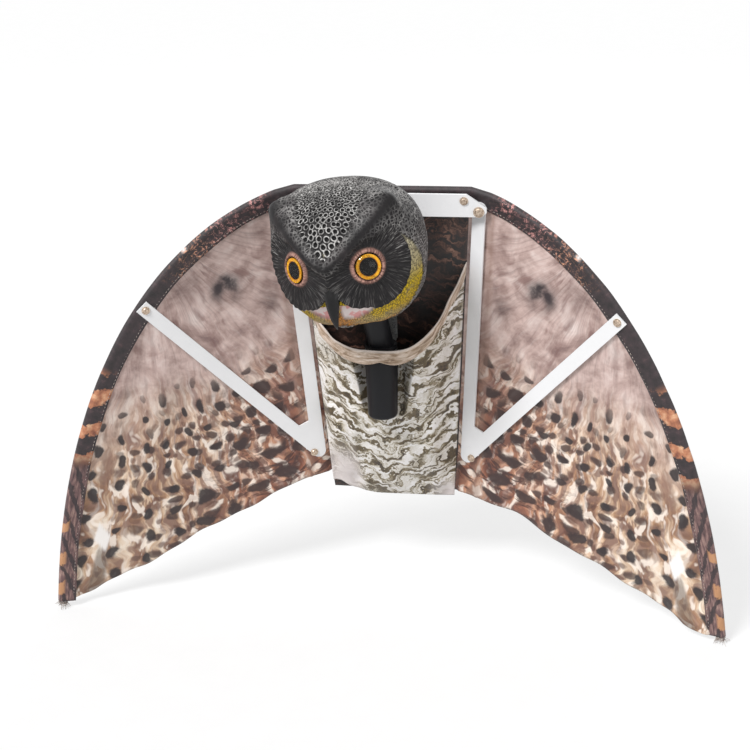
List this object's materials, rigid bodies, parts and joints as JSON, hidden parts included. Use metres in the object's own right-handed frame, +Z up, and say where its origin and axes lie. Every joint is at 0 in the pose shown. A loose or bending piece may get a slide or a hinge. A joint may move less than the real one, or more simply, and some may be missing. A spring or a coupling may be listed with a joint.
{
  "type": "motion wing owl decoy",
  "caption": "Owl decoy for a pole, with a hollow head that turns and two printed cloth wings on riveted strip frames that flap in the wind.",
  "frame": {"origin": "centre of the mouth of the pole sleeve", "axes": "+Z up the pole sleeve, the owl faces -Y, +X to the owl's left"},
  "size_m": [0.6148, 0.1555, 0.4162],
  "materials": {
    "black_plastic": "satin",
    "zinc_steel": "satin",
    "white_plastic": "satin",
    "rivet_brass": "satin",
    "hem_cloth": "printed",
    "spar_rod": "satin",
    "back_cloth": "printed",
    "bark_cloth": "printed",
    "head_plastic": "satin",
    "iris_paint": "gloss",
    "eye_glass": "gloss",
    "feather_cloth": "printed",
    "thread": "matte"
  },
  "bodies": {
    "body": {"pole_sleeve": "black_plastic", "neck_post": "black_plastic", "back_bracket": "zinc_steel", "bracket_screws": "zinc_steel", "neck_washer": "zinc_steel", "neck_screw": "zinc_steel", "centre_strip": "white_plastic", "crossbar": "white_plastic", "centre_rivets": "rivet_brass", "bar_rivets": "rivet_brass", "centre_hem": "hem_cloth", "centre_spar": "spar_rod", "back_panel": "back_cloth", "belly_panel": "bark_cloth", "collar_hem": "bark_cloth", "left_pivot_rivet": "rivet_brass", "left_pivot_washer": "zinc_steel", "right_pivot_rivet": "rivet_brass", "right_pivot_washer": "zinc_steel"},
    "head": {"head_shell": "head_plastic", "neck_plug": "black_plastic", "left_iris": "iris_paint", "right_iris": "iris_paint", "left_eye_lens": "eye_glass", "right_eye_lens": "eye_glass"},
    "left_wing": {"left_wing_frame": "white_plastic", "left_wing_cloth": "feather_cloth", "left_wing_hem": "hem_cloth", "left_spar": "spar_rod", "left_wing_rivets": "rivet_brass", "left_tip_tie": "thread"},
    "right_wing": {"right_wing_frame": "white_plastic", "right_wing_cloth": "feather_cloth", "right_wing_hem": "hem_cloth", "right_spar": "spar_rod", "right_wing_rivets": "rivet_brass", "right_tip_tie": "thread"}
  },
  "joints": [
    {"name": "head_turn", "type": "hinge", "parent": "body", "child": "head", "pos_m": [0, 0, 0.068], "axis": [-0.1331, -0.2924, 0.947], "range_deg": [-15, 25]},
    {"name": "left_wing_flap", "type": "hinge", "parent": "body", "child": "left_wing", "pos_m": [0.084, 0.0255, 0.183], "axis": [0.0576, -0.1096, 0.9923], "range_deg": [-10, 30], "stiffness_Nm_per_rad": 0.3},
    {"name": "right_wing_flap", "type": "hinge", "parent": "body", "child": "right_wing", "pos_m": [-0.084, 0.0255, 0.183], "axis": [0.0576, 0.1096, -0.9923], "range_deg": [-10, 30], "stiffness_Nm_per_rad": 0.3}
  ]
}
